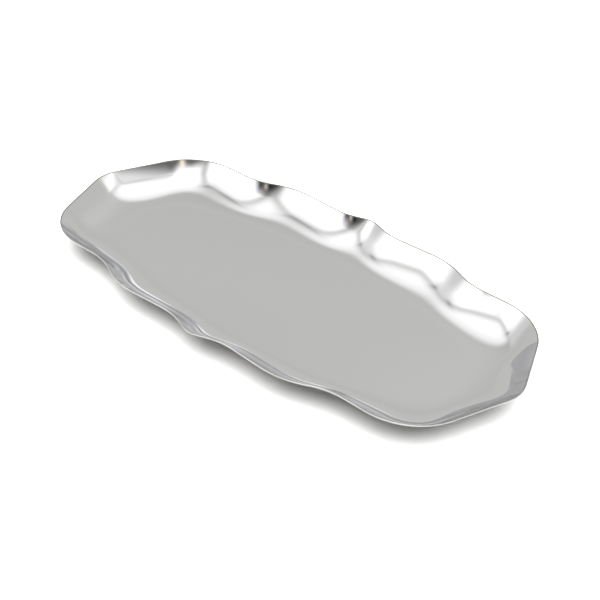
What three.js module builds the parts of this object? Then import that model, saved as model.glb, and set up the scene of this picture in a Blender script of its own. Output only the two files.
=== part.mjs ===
// Oblong serving tray, pressed from one sheet of stainless steel and mirror polished.
//
// The rim is a long scalloped outline with a shallow point at each end. The floor is a flat
// oval. Between them the sheet bends up into a wall, and the steps of the rim fade out on the
// way down to the floor.
//
// Millimetres. The origin is under the middle of the tray, on the surface it stands on.
// X runs along the length, Y across, Z up.

import * as THREE from 'three';
import { LoftGeometry } from 'three/addons/geometries/LoftGeometry.js';

// ---- driving dimensions -------------------------------------------------------------

const SHEET = 1.0; // thickness of the steel

// Corners of one quarter of the rim, from the end point round to the middle of a long side.
const RIM_QUARTER = [
  { x: 252, y: 0, radius: 40 }, // end point
  { x: 212.5, y: 107, radius: 60 }, // end shoulder
  { x: 133, y: 106.5, radius: 64 }, // foot of the outer step
  { x: 96, y: 125, radius: 78 }, // top of the outer step
  { x: 28, y: 121.5, radius: 58 }, // foot of the middle peak
  { x: 0, y: 132.5, radius: 18 }, // middle peak
];

// The same corners where the wall meets the floor.
const FLOOR_QUARTER = [
  { x: 200, y: 0, radius: 12 },
  { x: 190, y: 42, radius: 5 },
  { x: 122.5, y: 64, radius: 190 },
  { x: 91, y: 70, radius: 80 },
  { x: 27.5, y: 75, radius: 175 },
  { x: 0, y: 77, radius: 38 },
];

// Pressed sheet has no sudden change of curvature, so each outline is eased by a bell curve.
// These are its width at the rim and at the floor, and how late on the way down it widens.
const RIM_EASE = 1.7;
const FLOOR_EASE = 30;
const EASE_POWER = 2.2;

// Section, measured on the upper skin: a bend up from the floor, then a nearly straight
// wall that goes on turning a few degrees to the rim.
const BEND_RADIUS = 52;
const BEND_ANGLE = THREE.MathUtils.degToRad(45);
const WALL_LENGTH = 14.2;
const RIM_ANGLE = THREE.MathUtils.degToRad(47.2);

// Facets
const FACET = 8; // most length of a facet along the rim
const BEND_STEPS = 7;
const WALL_STEPS = 2;
const LIP_STEPS = 3; // round the half-round cut edge
const FLOOR_RING = 0.5; // size of the ring inside the floor's edge, as a share of the edge
const EASE_SAMPLES = 1500; // points of an outline that its easing averages

// ---- section ------------------------------------------------------------------------

const WALL_RADIUS = WALL_LENGTH / (RIM_ANGLE - BEND_ANGLE);

// A point of the section: how far it stands out from the floor's edge, and how high it is
// above the upper face of the floor.
function bendPoint(angle) {
  return {
    out: BEND_RADIUS * Math.sin(angle),
    up: BEND_RADIUS * (1 - Math.cos(angle)),
  };
}

function wallPoint(angle) {
  const start = bendPoint(BEND_ANGLE);
  return {
    out: start.out + WALL_RADIUS * (Math.sin(angle) - Math.sin(BEND_ANGLE)),
    up: start.up + WALL_RADIUS * (Math.cos(BEND_ANGLE) - Math.cos(angle)),
  };
}

// From the floor's edge to the rim.
function upperSection() {
  const points = [];
  for (let i = 0; i <= BEND_STEPS; i++) {
    points.push(bendPoint(BEND_ANGLE * i / BEND_STEPS));
  }
  for (let i = 1; i <= WALL_STEPS; i++) {
    points.push(wallPoint(BEND_ANGLE + (RIM_ANGLE - BEND_ANGLE) * i / WALL_STEPS));
  }
  return points;
}

// ---- outline ------------------------------------------------------------------------

// All the corners, anticlockwise from the end point on +X.
function allCorners(quarter) {
  const between = quarter.slice(1, -1).reverse();
  const mirrored = (corners, sx, sy) => corners.map((c) => ({ ...c, x: sx * c.x, y: sy * c.y }));
  return [
    ...quarter,
    ...mirrored(between, -1, 1),
    ...mirrored(quarter, -1, -1),
    ...mirrored(between, 1, -1),
  ];
}

const RIM_CORNERS = allCorners(RIM_QUARTER);
const FLOOR_CORNERS = allCorners(FLOOR_QUARTER);

// Facets from each corner of the rim to the next.
const SIDE_STEPS = RIM_CORNERS.map((corner, i) => {
  const next = RIM_CORNERS[(i + 1) % RIM_CORNERS.length];
  return Math.ceil(Math.hypot(next.x - corner.x, next.y - corner.y) / FACET);
});

// Unit normal of the side from a to b, pointing into the tray.
function inwardNormal(a, b) {
  return new THREE.Vector2(a.y - b.y, b.x - a.x).normalize();
}

// The outline at a share of the way in from the rim, 0, to the floor's edge, 1, as a closed
// path with an arc for each corner and a straight after it.
function sharpOutline(share) {
  const corners = RIM_CORNERS.map((rim, i) => {
    const floor = FLOOR_CORNERS[i];
    return {
      x: THREE.MathUtils.lerp(rim.x, floor.x, share),
      y: THREE.MathUtils.lerp(rim.y, floor.y, share),
      radius: THREE.MathUtils.lerp(rim.radius, floor.radius, share),
    };
  });
  const path = new THREE.Path();
  corners.forEach((corner, i) => {
    const before = inwardNormal(corners.at(i - 1), corner);
    const after = inwardNormal(corner, corners[(i + 1) % corners.length]);
    const hand = Math.sign(before.cross(after)); // +1 where the outline bulges out
    const centre = before.clone().add(after)
      .multiplyScalar(hand * corner.radius / (1 + before.dot(after)))
      .add(corner);
    const start = before.multiplyScalar(-hand).angle();
    const end = after.multiplyScalar(-hand).angle();
    path.absarc(centre.x, centre.y, corner.radius, start, end, hand < 0);
  });
  path.closePath();
  return path;
}

// Distances along the path: the middle of each corner, and even steps from each to the next.
function stations(path) {
  const ends = [0, ...path.getCurveLengths()];
  const middles = RIM_CORNERS.map((_, i) => (ends[2 * i] + ends[2 * i + 1]) / 2);
  return middles.flatMap((middle, i) => {
    const next = middles[i + 1] ?? middles[0] + path.getLength();
    const step = (next - middle) / SIDE_STEPS[i];
    return Array.from({ length: SIDE_STEPS[i] }, (_, k) => middle + k * step);
  });
}

// The path's points at its stations. Each is the average of its neighbours on the path,
// weighted by a bell curve.
function easedOutline(share) {
  const path = sharpOutline(share);
  const length = path.getLength();
  const points = path.getSpacedPoints(EASE_SAMPLES).slice(0, -1);
  const ease = RIM_EASE + (FLOOR_EASE - RIM_EASE) * share ** EASE_POWER;
  return stations(path).map((station) => {
    const sum = new THREE.Vector2();
    let total = 0;
    points.forEach((point, i) => {
      const gap = THREE.MathUtils.euclideanModulo(station - length * i / EASE_SAMPLES, length);
      const distance = Math.min(gap, length - gap);
      const weight = Math.exp(-((distance / ease) ** 2) / 2);
      sum.addScaledVector(point, weight);
      total += weight;
    });
    return sum.divideScalar(total);
  });
}

// ---- the tray -----------------------------------------------------------------------

// Rings of the upper skin, from the floor's edge to the rim.
function upperRings() {
  const section = upperSection();
  const run = section.at(-1).out;
  return section.map(({ out, up }) => easedOutline(1 - out / run)
    .map((point) => new THREE.Vector3(point.x, point.y, SHEET + up)));
}

// For each point of one ring of the upper skin: the direction out of the sheet, square to it,
// and the direction up the wall, along it.
function directions(rings, number) {
  const ring = rings[number];
  const inner = rings[Math.max(number - 1, 0)];
  const outer = rings[Math.min(number + 1, rings.length - 1)];
  return ring.map((_, i) => {
    const around = ring[(i + 1) % ring.length].clone().sub(ring.at(i - 1)).normalize();
    const across = outer[i].clone().sub(inner[i]);
    const square = number === 0 ? new THREE.Vector3(0, 0, 1) : across.cross(around).normalize();
    return { square, along: around.cross(square) };
  });
}

// The upper skin moved down through the sheet.
function lowerRings(rings) {
  return rings.map((ring, number) => {
    const towards = directions(rings, number);
    return ring.map((point, i) => point.clone().addScaledVector(towards[i].square, -SHEET));
  });
}

// The half-round cut edge at the rim, from the lower skin to the upper one.
function lipRings(rings) {
  const towards = directions(rings, rings.length - 1);
  return Array.from({ length: LIP_STEPS - 1 }, (_, step) => {
    const turn = Math.PI * ((step + 1) / LIP_STEPS - 1 / 2);
    return rings.at(-1).map((point, i) => point.clone()
      .addScaledVector(towards[i].square, SHEET / 2 * (Math.sin(turn) - 1))
      .addScaledVector(towards[i].along, SHEET / 2 * Math.cos(turn)));
  });
}

// Out along the underside, over the lip and back in on top. Each skin ends in a flat face of
// the floor. The upper one has a smaller ring in its own plane, so that its cap faces up.
function trayGeometry() {
  const upper = upperRings();
  const towardsMiddle = new THREE.Vector3(FLOOR_RING, FLOOR_RING, 1);
  const floorRing = upper[0].map((point) => point.clone().multiply(towardsMiddle));
  const rings = [...lowerRings(upper), ...lipRings(upper), ...upper.toReversed(), floorRing];
  return new LoftGeometry(rings, { capStart: true, capEnd: true });
}

const mirrorSteel = new THREE.MeshStandardMaterial({
  name: 'mirror_steel',
  color: 0xd4d5d8,
  metalness: 1.0,
  roughness: 0.06,
});

const traySheet = new THREE.Mesh(trayGeometry(), mirrorSteel);
traySheet.name = 'tray_sheet';

const servingTray = new THREE.Group();
servingTray.add(traySheet);

export default servingTray;
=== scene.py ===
"""Serving tray: one sheet of mirror-polished stainless steel, in a plain white studio.

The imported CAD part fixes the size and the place. The fine skin built here follows the same
rim outline and the same section, with enough facets for a clean mirror.
"""

import math

import bpy
import numpy as np
from mathutils import Matrix, Vector


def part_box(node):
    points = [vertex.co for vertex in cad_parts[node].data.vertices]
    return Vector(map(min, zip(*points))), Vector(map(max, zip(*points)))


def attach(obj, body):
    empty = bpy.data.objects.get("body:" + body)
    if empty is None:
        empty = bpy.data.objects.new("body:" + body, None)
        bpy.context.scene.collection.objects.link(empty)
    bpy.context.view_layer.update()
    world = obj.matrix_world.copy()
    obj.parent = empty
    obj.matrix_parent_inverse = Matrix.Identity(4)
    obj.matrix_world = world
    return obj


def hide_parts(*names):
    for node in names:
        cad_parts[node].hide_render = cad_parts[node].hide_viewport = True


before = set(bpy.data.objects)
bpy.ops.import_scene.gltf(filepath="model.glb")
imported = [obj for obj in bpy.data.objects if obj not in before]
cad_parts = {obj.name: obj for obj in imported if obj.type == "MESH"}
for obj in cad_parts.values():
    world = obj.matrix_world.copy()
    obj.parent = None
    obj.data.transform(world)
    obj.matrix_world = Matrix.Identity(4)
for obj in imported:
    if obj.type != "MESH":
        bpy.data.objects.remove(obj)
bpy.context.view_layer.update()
rim_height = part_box("tray_sheet")[1].z

# ---- the tray's shape, in millimetres until it is scaled to the CAD box ---------------

SHEET = 1.0

# Corners of a quarter of the rim, from the end point to the middle of a long side, and the
# same corners where the wall meets the floor: x, y, radius.
RIM_QUARTER = [
    (252.0, 0.0, 40),  # end point
    (212.5, 107.0, 60),  # end shoulder
    (133.0, 106.5, 64),  # foot of the outer step
    (96.0, 125.0, 78),  # top of the outer step
    (28.0, 121.5, 58),  # foot of the middle peak
    (0.0, 132.5, 18),  # middle peak
]
FLOOR_QUARTER = [
    (200.0, 0.0, 12),
    (190.0, 42.0, 5),
    (122.5, 64.0, 190),
    (91.0, 70.0, 80),
    (27.5, 75.0, 175),
    (0.0, 77.0, 38),
]
BEND_RADIUS = 52.0
BEND_ANGLE = math.radians(45)
WALL_LENGTH = 14.2
RIM_ANGLE = math.radians(47.2)

# The pressed sheet has no abrupt change of curvature. Up the wall it is spread over
# BEND_BLEND. Round the tray it is eased by a bell curve, which is wide at the floor, so that
# the steps of the rim fade out on the way down.
BEND_BLEND = 2.5
RIM_EASE = 1.7
FLOOR_EASE = 30.0
EASE_POWER = 2.2

RING_POINTS = 720  # round the outline
EASE_SAMPLES = 8  # finer still while a loop is eased
SECTION_SAMPLES = 4000  # up the section while it is worked out
SECTION_STEPS = 36  # from the floor's edge to the rim
SHADE_STRIP_WIDTH = 0.7  # strip beside the cut edge: rough as if the burr was ground off, darkened as painted shade
LIP_STEPS = 8  # round the cut edge
SHADE_STRIP_STEPS = 2  # of those, how many belong to the strip of painted shade
FLOOR_SHARES = (0.985, 0.95, 0.85, 0.6)  # rings inside the floor's edge


def unit(vectors):
    return vectors / np.linalg.norm(vectors, axis=-1, keepdims=True)


def section():
    """Upper skin from the floor's edge to the rim: distance out, and height."""
    bend_end = BEND_RADIUS * BEND_ANGLE
    along = np.linspace(-BEND_BLEND / 2, bend_end + WALL_LENGTH, SECTION_SAMPLES)
    step = along[1] - along[0]
    bend = np.where((along > 0) & (along < bend_end), 1 / BEND_RADIUS, 0.0)
    wall = np.where(along >= bend_end, (RIM_ANGLE - BEND_ANGLE) / WALL_LENGTH, 0.0)
    kernel = np.hanning(int(BEND_BLEND / step))
    padded = np.pad(bend + wall, len(kernel), mode="edge")
    curvature = np.convolve(padded, kernel / kernel.sum(), mode="same")[len(kernel):-len(kernel)]
    slope = np.cumsum(curvature) * step
    slope *= RIM_ANGLE / slope[-1]
    out = np.cumsum(np.cos(slope)) * step
    up = np.cumsum(np.sin(slope)) * step
    stations = np.linspace(along[0], along[-1] - SHADE_STRIP_WIDTH, SECTION_STEPS)
    stations = np.append(stations, along[-1])
    return [np.interp(stations, along, values - values[0]) for values in (out, up)]


def all_corners(quarter):
    """The corners all the way round, anticlockwise from the end point on +X."""
    quarter = np.array(quarter, float)
    between = quarter[-2:0:-1]
    turned = [
        quarter,
        between * (-1, 1, 1),
        quarter * (-1, -1, 1),
        between * (1, -1, 1),
    ]
    return np.vstack(turned)


def arc_points(centre, radius, start, end, steps=40):
    turn = (end - start + math.pi) % (2 * math.pi) - math.pi
    angles = start + turn * np.linspace(0, 1, steps)
    return np.c_[centre[0] + radius * np.cos(angles), centre[1] + radius * np.sin(angles)]


def eased_loop(points, ease):
    """The closed loop at even spacing, smoothed by a bell curve of that width."""
    closed = np.vstack([points, points[:1]])
    travel = np.r_[0, np.cumsum(np.linalg.norm(np.diff(closed, axis=0), axis=1))]
    even = np.linspace(0, travel[-1], EASE_SAMPLES * RING_POINTS, endpoint=False)
    loop = np.interp(even, travel, closed[:, 0]) + 1j * np.interp(even, travel, closed[:, 1])
    frequency = np.fft.fftfreq(len(even), d=travel[-1] / len(even))
    loop = np.fft.ifft(np.fft.fft(loop) * np.exp(-2 * (math.pi * frequency * ease) ** 2))
    loop = loop[::EASE_SAMPLES]
    return np.c_[loop.real, loop.imag]


def outline(share):
    """The outline at a share of the way in from the rim, 0, to the floor's edge, 1."""
    rim, floor = all_corners(RIM_QUARTER), all_corners(FLOOR_QUARTER)
    corners = rim + (floor - rim) * share
    sides = np.roll(corners[:, :2], -1, axis=0) - corners[:, :2]
    normals = unit(np.c_[-sides[:, 1], sides[:, 0]])
    points = []
    for i, (x, y, radius) in enumerate(corners):
        before, after = normals[i - 1], normals[i]
        hand = np.sign(before[0] * after[1] - before[1] * after[0])
        centre = (x, y) + (before + after) * hand * radius / (1 + before @ after)
        start = math.atan2(*(-hand * before)[::-1])
        end = math.atan2(*(-hand * after)[::-1])
        points.append(arc_points(centre, radius, start, end))
    ease = RIM_EASE + (FLOOR_EASE - RIM_EASE) * max(share, 0) ** EASE_POWER
    return eased_loop(np.vstack(points), ease)


def tray_rings():
    """Rings of the closed skin, from inside the underside's floor out, over the lip and back
    in on top, and the number of the first lip ring and the last."""
    out, up = section()
    shares = 1 - out / out[-1]
    upper = np.array([
        np.c_[outline(share), np.full(RING_POINTS, SHEET + height)]
        for share, height in zip(shares, up)
    ])
    around = unit(np.roll(upper, -1, axis=1) - np.roll(upper, 1, axis=1))
    square = unit(np.cross(np.gradient(upper, axis=0), around))
    square[0] = (0, 0, 1)
    along = np.cross(around, square)
    lower = upper - SHEET * square
    lip = [
        upper[-1] + SHEET / 2 * ((math.sin(t) - 1) * square[-1] + math.cos(t) * along[-1])
        for t in math.pi * (np.arange(1, LIP_STEPS) / LIP_STEPS - 0.5)
    ]
    floor = [upper[0] * (share, share, 1) for share in FLOOR_SHARES]
    underside = [lower[0] * (share, share, 1) for share in FLOOR_SHARES[::-1]]
    first_lip = len(underside) + len(lower) - 1
    return [*underside, *lower, *lip, *upper[::-1], *floor], first_lip, first_lip + LIP_STEPS


def fit_to_cad(points):
    """Millimetres to metres, stretched the last few hundredths of a percent onto the CAD box."""
    low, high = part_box("tray_sheet")
    size = points.max(axis=0) - points.min(axis=0)
    return (points - points.min(axis=0)) / size * np.array(high - low) + np.array(low)


def tray_mesh(finishes):
    """The skin, with finishes for the upper side, the strip beside the edge, the edge and the
    underside; the strip and the underside carry painted shade.
    """
    rings, first_lip, last_lip = tray_rings()
    count = len(rings[0])
    points = fit_to_cad(np.vstack(rings))
    around = np.arange(count)
    after = (around + 1) % count
    faces, slots = [], []
    for i in range(len(rings) - 1):
        a, b = i * count + around, i * count + after
        faces.extend(zip(a.tolist(), b.tolist(), (b + count).tolist(), (a + count).tolist()))
        starts = (first_lip, last_lip - SHADE_STRIP_STEPS, last_lip + 1)
        slots.extend([3 - sum(i >= start for start in starts)] * count)
    last = (len(rings) - 1) * count
    faces.append(tuple(range(count))[::-1])
    faces.append(tuple(range(last, last + count)))
    slots.extend([3, 0])
    mesh = bpy.data.meshes.new("tray_skin")
    mesh.from_pydata([tuple(p) for p in points], [], faces)
    for finish in finishes:
        mesh.materials.append(finish)
    mesh.polygons.foreach_set("material_index", slots)
    mesh.polygons.foreach_set("use_smooth", [True] * len(faces))
    mesh.update()
    return mesh


# ---- materials ------------------------------------------------------------------------


class Nodes:
    """Short calls for building a material's node tree."""

    def __init__(self, name):
        self.material = bpy.data.materials.new(name)
        self.material.use_nodes = True
        self.tree = self.material.node_tree
        self.tree.nodes.clear()

    def add(self, kind, inputs=(), **settings):
        node = self.tree.nodes.new(kind)
        for key, value in settings.items():
            setattr(node, key, value)
        for socket, value in dict(inputs).items():
            if isinstance(value, bpy.types.NodeSocket):
                self.tree.links.new(value, node.inputs[socket])
            else:
                node.inputs[socket].default_value = value
        return node

    def noise(self, scale, stretch=(1, 1, 1), detail=3.0):
        where = self.add("ShaderNodeTexCoord").outputs["Object"]
        where = self.add("ShaderNodeMapping", {"Vector": where, "Scale": stretch}).outputs[0]
        return self.add(
            "ShaderNodeTexNoise", {"Vector": where, "Scale": scale, "Detail": detail}
        ).outputs["Fac"]

    def spread(self, value, low, high, start=0.3, end=0.7):
        """A noise from start to end becomes a number from low to high."""
        inputs = {"Value": value, "From Min": start, "From Max": end, "To Min": low, "To Max": high}
        return self.add("ShaderNodeMapRange", inputs).outputs[0]

    def finish(self, shader):
        self.add("ShaderNodeOutputMaterial", {"Surface": shader})
        return self.material


def steel(name, colour, roughness, haze, line_depth):
    """Polished steel. Haze varies its roughness by that much either way, and fine buffing
    lines of that depth in metres run along the tray."""
    nodes = Nodes(name)
    clouds = nodes.noise(14.0, detail=4.0)
    lines = nodes.noise(60.0, stretch=(1, 30, 30), detail=2.0)
    rough = nodes.spread(clouds, roughness - haze, roughness + haze)
    bump = nodes.add("ShaderNodeBump", {"Height": lines, "Strength": 1.0, "Distance": line_depth})
    shader = nodes.add("ShaderNodeBsdfPrincipled", {
        "Base Color": (*colour, 1.0),
        "Metallic": 1.0,
        "Roughness": rough,
        "Normal": bump.outputs[0],
    })
    return nodes.finish(shader.outputs[0])


# ---- studio ---------------------------------------------------------------------------

# Studio axes: X to the camera's right, Y away from the camera, Z up. They are turned by
# HEADING about Z from the tray's own axes.
HEADING = math.radians(36.63)
STUDIO = Matrix.Rotation(HEADING, 4, "Z")

ELEVATION = math.radians(35.16)
DISTANCE = 1.0037
ROLL = math.radians(5.21)
LENS = 67.2
AIM = Vector((0.0135, -0.0440, 0.0))  # on the plane of the rim, in studio axes

CANOPY_HEIGHT = 1.19  # above the rim
CANOPY_SIDE = (-2.6, 2.6)
CANOPY_DEPTH = (-2.0, 3.2)
CANOPY_CELL = 0.025
ROOM = np.array((0.742, 0.739, 0.696))  # light from everywhere round the canopy
SOFT_BOX = (1.02, 1.008, 0.975)  # tint
WARM = (1.12, 0.98, 0.78)  # tint of a lamp glinting in the dark opening
CANOPY_FADE = 0.4  # width of the fade to the room along the canopy's four sides

SUN_ANGLE = math.radians(88)
SUN_STRENGTH = 6.2

STAGE_SIZE = 60.0
PAPER = (0.9, 0.0002)  # shade, and depth under the tray
BOARD = (0.60, 0.0004)
BACKDROP_SIDES = 64
BACKDROP_RADIUS = 27.0
GLOSSY_BOUNCES = 12  # the near wall reflects itself many times


def make_camera():
    data = bpy.data.cameras.new("camera")
    data.sensor_width = 36.0
    data.lens = LENS
    data.clip_start = 0.01
    camera = bpy.data.objects.new("camera", data)
    bpy.context.scene.collection.objects.link(camera)
    aim = AIM + Vector((0, 0, rim_height))
    back = Vector((0, -math.cos(ELEVATION), math.sin(ELEVATION)))
    turn = Matrix.Rotation(math.pi / 2 - ELEVATION, 4, "X") @ Matrix.Rotation(ROLL, 4, "Z")
    camera.matrix_world = STUDIO @ Matrix.Translation(aim + back * DISTANCE) @ turn
    bpy.context.scene.camera = camera


def rise(value, middle, width):
    """0 below and 1 above, eased across width about the middle."""
    t = np.clip((value - middle) / width + 0.5, 0, 1)
    return t * t * (3 - 2 * t)


def fall(value, middle, width):
    return rise(-value, -middle, width)


def blob(x, y, place, reach):
    return np.exp(-((x - place[0]) / reach[0]) ** 2 - ((y - place[1]) / reach[1]) ** 2)


def canopy_glow(x, y):
    """Light of the overhead canopy: three soft boxes side by side, and a dark opening between
    them and the camera. Each patch is laid over the ones before it."""
    slant = 1 + 0.17 * np.clip(x, -0.6, 0.6) * fall(y, 1.5, 0.7) - 0.035 * rise(y, 2.0, 0.6)
    glow = ROOM * slant[:, None]

    def lay(level, mask, tint=SOFT_BOX):
        nonlocal glow
        glow = glow + (level * np.array(tint) - glow) * mask[:, None]

    # The left soft box, its bright core, and a dim gap beyond it.
    left = fall(x + 0.02 * y, -0.64, 0.23)
    lay(0.9, left * fall(y, 1.36, 0.9))
    lay(1.5, left * fall(y, 0.48, 0.67))
    lay(2.8, blob(x, y, (-1.25, -0.05), (0.35, 0.3)))
    lay(0.25, blob(x, y, (-0.53, 0.51), (0.19, 0.07)))

    # The centre box and its core.
    centre = rise(x + 0.13 * y, -0.43, 0.48) * fall(x - 0.39 * y, 0.54, 0.80)
    lay(1.17, centre * fall(y, 0.85, 0.3))
    lay(2.2, centre * fall(y, 0.33, 1.47))
    lay(3.6, blob(x, y, (0.08, -0.02), (0.25, 0.25)))

    # The right box, with a dim patch and a dimmer line across it.
    right = rise(x - 0.25 * y, 0.81, 0.26) * fall(x - 0.57 * y, 0.96, 0.11)
    lay(1.6, right * fall(y, 0.93, 0.70))
    lay(1.17, blob(x, y, (0.75, -0.20), (0.18, 0.08)))
    lay(0.90, blob(x, y + 0.1 * x, (0.70, -0.075), (0.14, 0.025)))

    # The dark opening, its darkest places, and two warm lamps seen in it.
    dark = fall(y, 0.31 * rise(x, 0.59, 0.70) - 0.485, 0.20 - 0.06 * rise(x, -0.15, 0.3))
    dark = dark * rise(y, -0.95, 0.3) * rise(x, -1.2, 0.5) * fall(x, 1.3, 0.5)
    lay(0.19, dark)
    lay(0.01, blob(x, y, (-0.49, -0.62), (0.06, 0.06)))
    lay(0.08, blob(x, y, (-0.84, -0.56), (0.10, 0.07)))
    lay(0.80, blob(x, y, (-0.63, -0.60), (0.06, 0.03)), WARM)
    lay(1.35, blob(x, y, (0.27, -0.50), (0.10, 0.06)), WARM)

    inset = CANOPY_FADE / 2
    edges = [
        rise(x, CANOPY_SIDE[0] + inset, CANOPY_FADE),
        fall(x, CANOPY_SIDE[1] - inset, CANOPY_FADE),
        rise(y, CANOPY_DEPTH[0] + inset, CANOPY_FADE),
        fall(y, CANOPY_DEPTH[1] - inset, CANOPY_FADE),
    ]
    lay(1.0, 1 - np.prod(edges, axis=0), ROOM)
    return glow


def sheet_mesh(name, xs, ys, height):
    x, y = np.meshgrid(xs, ys)
    points = np.c_[x.ravel(), y.ravel(), np.full(x.size, height)]
    column, row = np.meshgrid(np.arange(len(xs) - 1), np.arange(len(ys) - 1))
    a = (row * len(xs) + column).ravel()
    faces = np.c_[a, a + 1, a + len(xs) + 1, a + len(xs)]
    mesh = bpy.data.meshes.new(name)
    mesh.from_pydata(points.tolist(), [], faces.tolist())
    return mesh, points


def make_canopy():
    """The emitting sheet overhead. Only the steel sees it: it lights no floor."""
    xs, ys = (np.arange(low, high + CANOPY_CELL / 2, CANOPY_CELL)
              for low, high in (CANOPY_SIDE, CANOPY_DEPTH))
    mesh, points = sheet_mesh("canopy", xs, ys, rim_height + CANOPY_HEIGHT)
    glow = mesh.attributes.new("glow", "FLOAT_COLOR", "POINT")
    colour = np.c_[canopy_glow(points[:, 0], points[:, 1]), np.ones(len(points))]
    glow.data.foreach_set("color", colour.ravel().astype(np.float32))
    nodes = Nodes("canopy")
    light = nodes.add("ShaderNodeAttribute", attribute_name="glow").outputs["Color"]
    light = nodes.add("ShaderNodeEmission", {"Color": light})
    mesh.materials.append(nodes.finish(light.outputs[0]))
    canopy = bpy.data.objects.new("canopy", mesh)
    canopy.matrix_world = STUDIO
    canopy.visible_camera = canopy.visible_diffuse = canopy.visible_shadow = False
    bpy.context.scene.collection.objects.link(canopy)


def make_floor(name, shade, depth):
    sides = (-STAGE_SIZE / 2, STAGE_SIZE / 2)
    mesh, _ = sheet_mesh(name, sides, sides, 0.0)
    nodes = Nodes(name)
    shader = nodes.add("ShaderNodeBsdfDiffuse", {"Color": (shade, shade, shade, 1)})
    mesh.materials.append(nodes.finish(shader.outputs[0]))
    floor = bpy.data.objects.new(name, mesh)
    floor.location.z = -depth
    bpy.context.scene.collection.objects.link(floor)
    return floor


def make_floors():
    """White paper that only the camera sees, lit until it is clear white. Just under it lies a
    darker board that the camera doesn't see, for the steel to mirror."""
    paper = make_floor("white_paper", *PAPER)
    paper.visible_glossy = paper.visible_diffuse = paper.visible_shadow = False
    board = make_floor("board", *BOARD)
    board.visible_camera = False


def make_backdrop():
    """White paper all round, far off, that only the camera sees."""
    count = BACKDROP_SIDES
    turns = np.linspace(0, 2 * math.pi, count, endpoint=False)
    ring = np.c_[np.cos(turns), np.sin(turns), np.zeros(count)] * BACKDROP_RADIUS
    points = np.vstack([ring, ring + (0, 0, STAGE_SIZE)])
    faces = [(i, (i + 1) % count, (i + 1) % count + count, i + count) for i in range(count)]
    mesh = bpy.data.meshes.new("backdrop")
    mesh.from_pydata(points.tolist(), [], faces)
    nodes = Nodes("backdrop")
    light = nodes.add("ShaderNodeEmission", {"Color": (1.0, 1.0, 1.0, 1.0)})
    mesh.materials.append(nodes.finish(light.outputs[0]))
    backdrop = bpy.data.objects.new("backdrop", mesh)
    backdrop.visible_glossy = backdrop.visible_diffuse = backdrop.visible_shadow = False
    bpy.context.scene.collection.objects.link(backdrop)


def make_sun():
    """Soft light on the floor, from a wide disc overhead that the steel doesn't reflect."""
    data = bpy.data.lights.new("sun", "SUN")
    data.angle = SUN_ANGLE
    data.energy = SUN_STRENGTH
    sun = bpy.data.objects.new("sun", data)
    sun.visible_glossy = False
    bpy.context.scene.collection.objects.link(sun)


def make_world():
    world = bpy.data.worlds.new("studio")
    bpy.context.scene.world = world
    world.use_nodes = True
    world.node_tree.nodes["Background"].inputs["Color"].default_value = (*ROOM, 1)
    bpy.context.scene.view_settings.view_transform = "Standard"
    bpy.context.scene.cycles.glossy_bounces = GLOSSY_BOUNCES


# ---- the scene ------------------------------------------------------------------------

make_camera()
make_world()
make_canopy()
make_floors()
make_backdrop()
make_sun()

finishes = [
    steel("polished_upper", (0.660, 0.665, 0.690), 0.045, 0.012, 0.000002),
    # painted shade: the strip beside the cut edge is coloured dark tan, well below the steel's own
    # colour, so that the rim shows a thin dark line against the white floor; its roughness stands
    # for a ground finish
    steel("ground_strip_painted_shade", (0.30, 0.285, 0.26), 0.40, 0.08, 0.000008),
    steel("trimmed_edge", (0.70, 0.695, 0.68), 0.13, 0.03, 0.000006),
    # painted shade: the underside is coloured darker than the upper steel, so that it and the
    # shadow under the rim come out dark; its higher roughness makes it duller
    steel("dull_underside_painted_shade", (0.44, 0.44, 0.45), 0.20, 0.05, 0.000005),
]
tray = bpy.data.objects.new("tray_skin", tray_mesh(finishes))
bpy.context.scene.collection.objects.link(tray)
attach(tray, "root")
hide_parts("tray_sheet")

bpy.context.view_layer.update()
